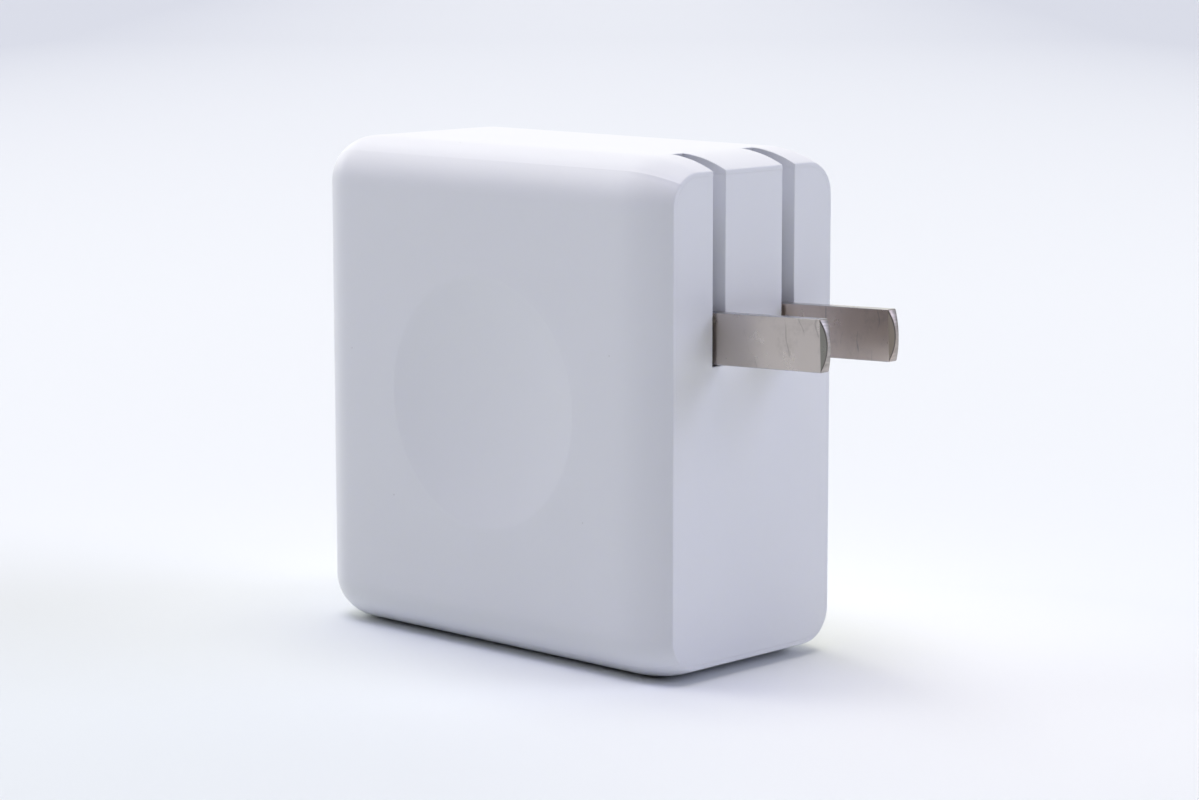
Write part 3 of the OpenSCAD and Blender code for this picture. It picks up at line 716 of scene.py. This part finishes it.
def blade_wear(mat, where, x):
    """The share of wear at each point, from rubbing and scratches, and a pattern for its bump."""
    patches = remap(mat, noise(mat, where, 3 * MM, detail=2), 0.45, 0.6)
    rubbed = times(mat, patches, remap(mat, x, *RUBBED_FADE))
    mottle = noise(mat, where, 0.7 * MM, detail=4, rough=0.65)
    arcs = add_node(mat, "TexWave", {"Vector": where, "Scale": 1 / (9 * MM), "Distortion": 9.0,
                                     "Detail": 2.0, "Detail Scale": 1.2}).outputs["Fac"]
    scratch = times(mat, remap(mat, arcs, 0.985, 0.997), rubbed)
    marks = times(mat, remap(mat, mottle, 0.4, 0.65), rubbed)
    wear = calc(mat, "ADD", times(mat, marks, 0.35), times(mat, scratch, 0.7))
    return wear, calc(mat, "ADD", mottle, scratch)


def blade_tones(mat, y, z):
    """The unworn colour of the plate, and the painted dark reflection of the bevels. The long edges
    are a little cooler in tone, and the near side of the far blade a little warmer, a painted
    reflection."""
    # A painted warmer reflection on the near side of the far blade.
    far = times(mat, remap(mat, y, -TINY, TINY),
               remap(mat, y, SLOT_Y - BLADE_T / 3, SLOT_Y + BLADE_T / 3, 1, 0))
    plate = blend_colours(mat, far, NICKEL, FAR_NICKEL_REFLECTION)
    edge = remap(mat, calc(mat, "ABSOLUTE", z), *(BLADE_W / 2 - f for f in EDGE_FADE))
    plate = blend_colours(mat, edge, plate, NICKEL_EDGE)
    return plate, blend_colours(mat, far, BEVEL_DARK_REFLECTION, FAR_BEVEL_DARK_REFLECTION)


def blade_nickel(name):
    """Nickel plate with soft rub marks and fine curved scratches. The coined tip bevels are painted
    darker, a painted dark reflection, with a painted shade line along their outer edge. The sheared
    end of the tip is rougher and streaked across its thickness, and its streaks are painted darker
    with the same dark reflection, as painted shade."""
    mat = new_material(name, NICKEL, 0.3, metallic=1)
    where = blade_place(mat)
    x, y, z = split(mat, where)
    bevel, line, sheared = tip_masks(mat, x, y, z)
    wear, height = blade_wear(mat, where, x)
    plate, bevel_reflection = blade_tones(mat, y, z)
    drawn_out = join(mat, x, times(mat, y, 0.1), z)
    streaks = remap(mat, noise(mat, drawn_out, 0.25 * MM, detail=3), 0.35, 0.65)
    streaked = times(mat, sheared, remap(mat, streaks, 0, 1, 0.1, 0.6))
    worn = blend_colours(mat, wear, plate, darker(NICKEL, WORN_SHARE))
    # The bevels take a painted dark reflection, and the sheared end's streaks take it as painted
    # shade.
    coined = blend_colours(mat, bevel, worn, bevel_reflection)
    with_end_shade = blend_colours(mat, streaked, coined, bevel_reflection)
    # A painted shade line along the bevels' outer edge.
    tint(mat, line, with_end_shade, darker(NICKEL, SHADE_LINE_SHARE))
    cloud = noise(mat, where, 2.5 * MM, detail=3)
    rough = calc(mat, "ADD", spread(mat, cloud, 0.26, 0.32), times(mat, wear, 0.12))
    feed(mat, calc(mat, "ADD", rough, times(mat, sheared, 0.14)), "Roughness")
    bump(mat, height, 0.003 * MM, 0.4)
    return mat


# ---------- inner materials ----------

GLASS_FLECK = (0.5, 0.5, 0.48)
BROWNED = (0.5, 0.2, 0.07)
TRACE_TILE = 10 * MM
HOLES_APART = 2.6 * MM
PAD_EDGE = (0.16, 0.19)  # in HOLES_APART
CAN_SLEEVE_END = (0.35 * MM, 0.45 * MM)  # below the can's top


def moulded(name, colour, roughness, grain_size=0.25 * MM):
    """Moulded or dipped plastic: faint clouding and a fine grain."""
    mat = new_material(name, colour, roughness)
    where = place(mat)
    tint(mat, spread(mat, noise(mat, where, 4 * MM, detail=3)), colour, darker(colour, 0.82))
    grain = noise(mat, where, grain_size, detail=3, rough=0.6)
    roughen(mat, grain, roughness - 0.05, roughness + 0.05, reach=0.3)
    bump(mat, grain, 0.04 * grain_size, 0.5)
    return mat


def glass_filled(name, colour):
    """Nylon with short glass fibres that show as pale flecks along the flow."""
    mat = new_material(name, colour, 0.5)
    where = place(mat)
    fibres = noise(mat, place(mat, (1, 0.15, 1)), 0.08 * MM, detail=2)
    tint(mat, remap(mat, fibres, 0.62, 0.72, 0, 0.5), colour, GLASS_FLECK)
    grain = noise(mat, where, 0.3 * MM, detail=3, rough=0.6)
    roughen(mat, grain, 0.44, 0.58, reach=0.3)
    bump(mat, grain, 0.012 * MM, 0.5)
    return mat


def rolled_metal(name, colour, roughness, stretch=(0.04, 1, 1)):
    """Metal with fine rolling or drawing marks, long along the axis of least stretch, and a
    slight tarnish."""
    mat = new_material(name, colour, roughness, metallic=1)
    marks = noise(mat, place(mat, stretch), 0.1 * MM, detail=3)
    tarnish = noise(mat, place(mat), 2.5 * MM, detail=4)
    tint(mat, remap(mat, tarnish, 0.4, 0.75), colour, darker(colour, 0.7))
    roughen(mat, marks, roughness - 0.06, roughness + 0.08, reach=0.25)
    bump(mat, marks, 0.004 * MM, 0.5)
    return mat


def circuit_board(name, mask, copper, pads):
    """Solder mask over straight copper traces that show a little paler, with tinned round pads."""
    mat = new_material(name, mask, 0.3)
    x, y, z = split(mat, place(mat))
    flat = join(mat, x, z)
    runs = add_node(mat, "TexBrick", {"Vector": flat, "Scale": 1 / TRACE_TILE, "Mortar Size": 0.03,
                                      "Brick Width": 0.7, "Row Height": 0.18}).outputs["Fac"]
    traced = blend_colours(mat, runs, mask, copper)
    holes = add_node(mat, "TexVoronoi", {"Vector": flat, "Scale": 1 / HOLES_APART},
                     voronoi_dimensions="2D")
    tint(mat, remap(mat, holes.outputs["Distance"], *PAD_EDGE, 1, 0), traced, pads)
    weave = noise(mat, join(mat, x, z, y), 0.3 * MM, detail=2)
    roughen(mat, weave, 0.26, 0.36)
    bump(mat, runs, 0.03 * MM, 0.6)
    return mat


def ground_ferrite(name, colour):
    """Ground ferrite: dull, with small pits that are painted dark as shade inside them."""
    mat = new_material(name, colour, 0.6)
    where = place(mat)
    pits = specks(mat, where, apart=0.5 * MM, radius=0.12 * MM)
    # Painted shade inside the pits.
    tint(mat, pits, colour, darker(colour, 0.3))
    marks = noise(mat, place(mat, (1, 0.1, 1)), 0.15 * MM, detail=3)
    roughen(mat, marks, 0.5, 0.68)
    bump(mat, calc(mat, "SUBTRACT", times(mat, marks, 0.4), pits), 0.02 * MM, 0.6)
    return mat


def enamelled_copper(name, colour):
    """Copper under clear enamel, a little browner in places."""
    mat = new_material(name, colour, 0.28, metallic=1)
    where = place(mat)
    tint(mat, remap(mat, noise(mat, where, 1.5 * MM, detail=3), 0.35, 0.7), colour, BROWNED)
    streak = noise(mat, where, 0.2 * MM, detail=2)
    roughen(mat, streak, 0.22, 0.34)
    bump(mat, streak, 0.006 * MM, 0.4)
    return mat


def layered_tape(name, colour):
    """Polyester tape: fine wrap edges and slight wrinkles."""
    mat = new_material(name, colour, 0.35)
    where = place(mat)
    wrinkle = noise(mat, place(mat, (1, 0.2, 1)), 1.2 * MM, detail=3)
    edges = add_node(mat, "TexWave", {"Vector": where, "Scale": 1 / (6 * MM), "Distortion": 0.4},
                     bands_direction="Y").outputs["Fac"]
    tint(mat, remap(mat, edges, 0.9, 1), colour, darker(colour, 0.75))
    roughen(mat, wrinkle, 0.28, 0.42)
    bump(mat, wrinkle, 0.05 * MM, 0.4)
    return mat


def sleeved_can(name, sleeve, metal, top_y):
    """A capacitor: a shrink sleeve round its can, and bare aluminium on its top."""
    mat = new_material(name, sleeve, 0.3)
    where = place(mat)
    y = split(mat, where)[1]
    bare = remap(mat, y, *(top_y + f for f in CAN_SLEEVE_END), 1, 0)
    sheen = noise(mat, where, 2 * MM, detail=3)
    wrapped = blend_colours(mat, spread(mat, sheen, 0, 0.4), sleeve, darker(sleeve, 0.6))
    tint(mat, bare, wrapped, metal)
    feed(mat, bare, "Metallic")
    fine = noise(mat, where, 0.15 * MM, detail=2)
    roughen(mat, fine, 0.24, 0.38)
    bump(mat, fine, 0.006 * MM, 0.4)
    return mat


def capped_fuse(name, body, metal, low_z, high_z):
    """A fuse: glazed body between two plated end caps."""
    mat = new_material(name, body, 0.3)
    where = place(mat)
    z = split(mat, where)[2]
    low = remap(mat, z, low_z + FUSE_CAP - TINY, low_z + FUSE_CAP, 1, 0)
    high = remap(mat, z, high_z - FUSE_CAP, high_z - FUSE_CAP + TINY)
    cap = calc(mat, "ADD", low, high)
    tint(mat, cap, body, metal)
    feed(mat, cap, "Metallic")
    glaze = noise(mat, where, 0.6 * MM, detail=3)
    roughen(mat, glaze, 0.2, 0.32)
    bump(mat, glaze, 0.01 * MM, 0.3)
    return mat


def clear_film(name, colour):
    """Thin polyester film, faintly hazed and dimpled."""
    mat = new_material(name, colour, 0.25)
    haze = noise(mat, place(mat), 3 * MM, detail=3)
    tint(mat, spread(mat, haze), colour, darker(colour, 0.9))
    roughen(mat, haze, 0.18, 0.34)
    bump(mat, haze, 0.03 * MM, 0.3)
    return mat


def dress(obj, mat):
    obj.data.materials.clear()
    obj.data.materials.append(mat)


# ---------- stage, light and camera ----------

FLOOR_R = 12
FLOOR_SIDES = 96

# The photo's camera, solved from the adapter's straight edges.
CAMERA_AT = Vector((0.2968, -0.3045, 0.09597))
CAMERA_YAW = radians(133.768)
CAMERA_PITCH = radians(8.752)
CAMERA_ROLL = radians(-0.079)
CAMERA_LENS = 100.19  # millimetres, like the sensor's width
SENSOR_W = 36
NEAREST = 0.01

FLOOR = (0.825, 0.85, 0.86)
# A painted pool of light in front of the adapter, painted shade to its left, and painted shade far
# behind it.
FLOOR_PAINTED_POOL = (0.955, 0.965, 0.965)
FLOOR_PAINTED_DIM = (0.755, 0.79, 0.80)
FLOOR_FAR_PAINTED_SHADE = (0.61, 0.635, 0.685)
POOL_AT = (0.05, 0.0, shell_lo.z)
POOL_EDGE = (0.01, 0.065)
DIM_AT = (-0.015, -0.09, shell_lo.z)
DIM_EDGE = (0.03, 0.13)
FALL_EDGE = (0.35, 1.7)  # where the painted shade turns the floor grey, behind the adapter
MIDDLE_FALL = 0.45
SIDE_FALL = 4.7
MOST_FALL = 1.15
PAPER_FLECK = (0.6, 0.6, 0.6)
SKY = (0.93, 0.94, 0.96)
SKY_IN_GLOSS = 0.25

# The lamps' angles are in degrees.
Lamp = namedtuple("Lamp", "name azimuth elevation spread colour strength")
LAMPS = (Lamp("overhead", 0, 90, 45, (1.0, 0.97, 0.79), 1.76),
         Lamp("front_above", -90, 75, 30, (0.31, 0.33, 1.0), 0.67),
         Lamp("left", 190, 35, 60, (1.0, 1.0, 1.0), 1.5),
         Lamp("back", 135, 12, 80, (1.0, 1.0, 0.9), 1.07),
         Lamp("blade_side", 35, 27, 35, (0.73, 0.76, 1.0), 0.95))


def floor_paper():
    """Pale paper with painted light: a painted pool of light makes it a little brighter in front of
    the adapter, painted shade makes it a little dimmer to its left, and painted shade makes it
    greyer and bluer far behind it, most of all to either side."""
    mat = new_material("floor_paper", FLOOR, 0.9)
    where = place(mat)
    back = along(mat, where, (cos(CAMERA_YAW), sin(CAMERA_YAW), 0))
    side = along(mat, where, (sin(CAMERA_YAW), -cos(CAMERA_YAW), 0))
    pool = remap(mat, distance(mat, where, POOL_AT), *POOL_EDGE, 1, 0)
    lit = blend_colours(mat, pool, FLOOR, FLOOR_PAINTED_POOL)
    dim = remap(mat, distance(mat, where, DIM_AT), *DIM_EDGE, 1, 0)
    near = blend_colours(mat, dim, lit, FLOOR_PAINTED_DIM)
    wide = times(mat, calc(mat, "POWER", calc(mat, "ABSOLUTE", side), 2), SIDE_FALL)
    far_shade = times(mat, remap(mat, back, *FALL_EDGE), calc(mat, "ADD", wide, MIDDLE_FALL))
    tone = blend_colours(mat, calc(mat, "MINIMUM", far_shade, MOST_FALL), near, FLOOR_FAR_PAINTED_SHADE)
    fibre = noise(mat, where, 0.6 * MM, detail=3)
    tint(mat, spread(mat, fibre, 0, 0.02), tone, PAPER_FLECK)
    bump(mat, fibre, 0.01 * MM, 0.3)
    return mat


def add_floor():
    bm = bmesh.new()
    bmesh.ops.create_circle(bm, cap_ends=True, radius=FLOOR_R, segments=FLOOR_SIDES,
                            matrix=Matrix.Translation((0, 0, shell_lo.z)))
    floor = new_object("floor", bm)
    dress(floor, floor_paper())


def add_world():
    """A pale sky that the camera sees, and dimmer in reflections. It adds no light of its own."""
    world = bpy.data.worlds.new("studio")
    world.use_nodes = True
    bpy.context.scene.world = world
    tree = world.node_tree
    back = tree.nodes["Background"]
    back.inputs["Color"].default_value = (*SKY, 1)
    rays = tree.nodes.new("ShaderNodeLightPath")
    gloss = tree.nodes.new("ShaderNodeMath")
    gloss.operation = "MULTIPLY"
    gloss.inputs[1].default_value = SKY_IN_GLOSS
    total = tree.nodes.new("ShaderNodeMath")
    total.operation = "ADD"
    tree.links.new(rays.outputs["Is Glossy Ray"], gloss.inputs[0])
    tree.links.new(rays.outputs["Is Camera Ray"], total.inputs[0])
    tree.links.new(gloss.outputs[0], total.inputs[1])
    tree.links.new(total.outputs[0], back.inputs["Strength"])


def add_softbox(lamp):
    """A wide soft source far away in the direction of its azimuth, from +X towards +Y, and its
    elevation."""
    light = bpy.data.lights.new(lamp.name, "SUN")
    light.angle = radians(lamp.spread)
    light.color = lamp.colour
    light.energy = lamp.strength
    obj = bpy.data.objects.new(lamp.name, light)
    az, el = radians(lamp.azimuth), radians(lamp.elevation)
    towards = Vector((cos(az) * cos(el), sin(az) * cos(el), sin(el)))
    obj.rotation_mode = "QUATERNION"
    obj.rotation_quaternion = towards.to_track_quat("Z", "Y")
    bpy.context.scene.collection.objects.link(obj)


def add_camera():
    forward = Vector((cos(CAMERA_YAW) * cos(CAMERA_PITCH), sin(CAMERA_YAW) * cos(CAMERA_PITCH),
                      -sin(CAMERA_PITCH)))
    right = forward.cross(Vector((0, 0, 1))).normalized()
    up = right.cross(forward)
    side = right * cos(CAMERA_ROLL) + up * sin(CAMERA_ROLL)
    top = up * cos(CAMERA_ROLL) - right * sin(CAMERA_ROLL)
    data = bpy.data.cameras.new("camera")
    data.lens = CAMERA_LENS
    data.sensor_width = SENSOR_W
    data.sensor_fit = "HORIZONTAL"
    data.clip_start = NEAREST
    data.clip_end = 3 * FLOOR_R
    camera = bpy.data.objects.new("camera", data)
    turn = Matrix((side, top, -forward)).transposed().to_4x4()
    camera.matrix_world = Matrix.Translation(CAMERA_AT) @ turn
    bpy.context.scene.collection.objects.link(camera)
    bpy.context.scene.camera = camera


# ---------- the CAD nodes' finishes ----------

STEEL = (0.62, 0.62, 0.64)
BARE_ALUMINIUM = (0.75, 0.75, 0.77)
TINNED = (0.7, 0.7, 0.68)

# The material of each CAD node except main_shell and blade_cover, and how far its edges are
# softened, in millimetres.
NODE_FINISH = {
    "line_blade": ("nickel", 0.1), "neutral_blade": ("nickel", 0.1),
    "blade_rotor": ("rotor", 0.12), "rotor_clamp": ("inner", 0.15),
    "clamp_screws": ("steel", 0.08), "detent_spring": ("spring", 0.04),
    "line_contact": ("bronze", 0.04), "neutral_contact": ("bronze", 0.04),
    "usb_c_shell": ("steel", 0.06), "usb_c_tongue": ("black", 0.06),
    "usb_c_contacts": ("gold", 0.01), "board_pins": ("gold", 0.05),
    "outlet_board": ("board", 0.05), "main_board": ("board", 0.08),
    "pd_controller": ("chip", 0.06), "output_switch": ("chip", 0.08),
    "insulation_sheet": ("film", 0.05), "thermal_pad": ("pad", 0.3),
    "transformer_core_front": ("ferrite", 0.2), "transformer_core_back": ("ferrite", 0.2),
    "transformer_bobbin": ("black", 0.1), "transformer_winding": ("copper", 0.1),
    "transformer_tape": ("tape", 0.1), "choke_core": ("choke", 0.4),
    "choke_windings": ("copper", 0.1), "bulk_capacitors": ("bulk", 0.05),
    "output_capacitors": ("output", 0.05), "x_capacitor": ("film_box", 0.4),
    "y_capacitor": ("blue", 0.8), "fuse": ("fuse", 0.2),
    "inrush_thermistor": ("green", 0.7), "bridge_rectifier": ("chip", 0.25),
    "primary_switch": ("chip", 0.15), "primary_heatsink": ("aluminium", 0.1),
    "pwm_controller": ("chip", 0.1), "sync_rectifier": ("chip", 0.1),
    "optocoupler": ("chip", 0.12), "chip_resistors": ("chip", 0.04)}


def metals():
    return {
        "nickel": blade_nickel("nickel_blade"),
        "steel": rolled_metal("steel", STEEL, 0.3),
        "spring": rolled_metal("spring_steel", (0.5, 0.52, 0.55), 0.28, (1, 1, 0.04)),
        "bronze": rolled_metal("bronze", (0.72, 0.5, 0.25), 0.3, (1, 1, 0.04)),
        "gold": rolled_metal("gold_plate", (0.83, 0.65, 0.3), 0.22),
        "aluminium": rolled_metal("can_aluminium", BARE_ALUMINIUM, 0.34),
        "copper": enamelled_copper("copper_wire", (0.72, 0.38, 0.18))}


def insulators():
    return {
        "board": circuit_board("board_green", (0.05, 0.25, 0.12), (0.12, 0.38, 0.16), TINNED),
        "inner": moulded("inner_plastic", (0.7, 0.7, 0.7), 0.45),
        "rotor": glass_filled("rotor_plastic", (0.12, 0.12, 0.13)),
        "black": moulded("black_plastic", (0.04, 0.04, 0.04), 0.4),
        "chip": moulded("chip_black", (0.03, 0.03, 0.03), 0.55, 0.08 * MM),
        "film": clear_film("sheet_clear", (0.85, 0.84, 0.78)),
        "ferrite": ground_ferrite("ferrite", (0.1, 0.1, 0.11)),
        "pad": moulded("pad_grey", (0.45, 0.48, 0.52), 0.75, 0.5 * MM),
        "tape": layered_tape("tape_yellow", (0.85, 0.7, 0.15)),
        "choke": moulded("choke_green", (0.1, 0.35, 0.2), 0.3, 0.8 * MM),
        "film_box": moulded("film_yellow", (0.85, 0.65, 0.1), 0.35, 0.4 * MM),
        "blue": moulded("disc_blue", (0.1, 0.25, 0.6), 0.3, 0.9 * MM),
        "green": moulded("disc_green", (0.15, 0.28, 0.15), 0.35, 0.9 * MM)}


def fitted():
    """The materials that follow the size of their own piece."""
    fuse_lo, fuse_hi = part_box("fuse")
    bulk_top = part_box("bulk_capacitors")[0].y
    output_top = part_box("output_capacitors")[0].y
    return {
        "bulk": sleeved_can("sleeve_dark", (0.06, 0.07, 0.16), BARE_ALUMINIUM, bulk_top),
        "output": sleeved_can("output_sleeve", BARE_ALUMINIUM, BARE_ALUMINIUM, output_top),
        "fuse": capped_fuse("fuse_brown", (0.3, 0.15, 0.08), TINNED, fuse_lo.z, fuse_hi.z)}


# ---------- the adapter ----------

white = case_plastic("case_white", (0.86, 0.87, 0.895), (0.78, 0.79, 0.82))
materials = {**metals(), **insulators(), **fitted()}

case = make_case()
dress(case, white)
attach(case, "case")
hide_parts("main_shell")

cover = make_cover()
dress(cover, white)
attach(cover, "case")
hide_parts("blade_cover")

winding = make_winding()
dress(winding, materials["copper"])
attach(winding, "case")
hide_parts("transformer_winding")

coils = make_choke_windings()
dress(coils, materials["copper"])
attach(coils, "case")
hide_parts("choke_windings")

for name in ("main_shell", "blade_cover"):
    dress(frame["nodes"][name], white)
for name, (finish, softening) in NODE_FINISH.items():
    soften_node(name, softening * MM)
    dress(frame["nodes"][name], materials[finish])

add_floor()
add_world()
for lamp in LAMPS:
    add_softbox(lamp)
add_camera()
bpy.context.scene.view_settings.view_transform = "Standard"
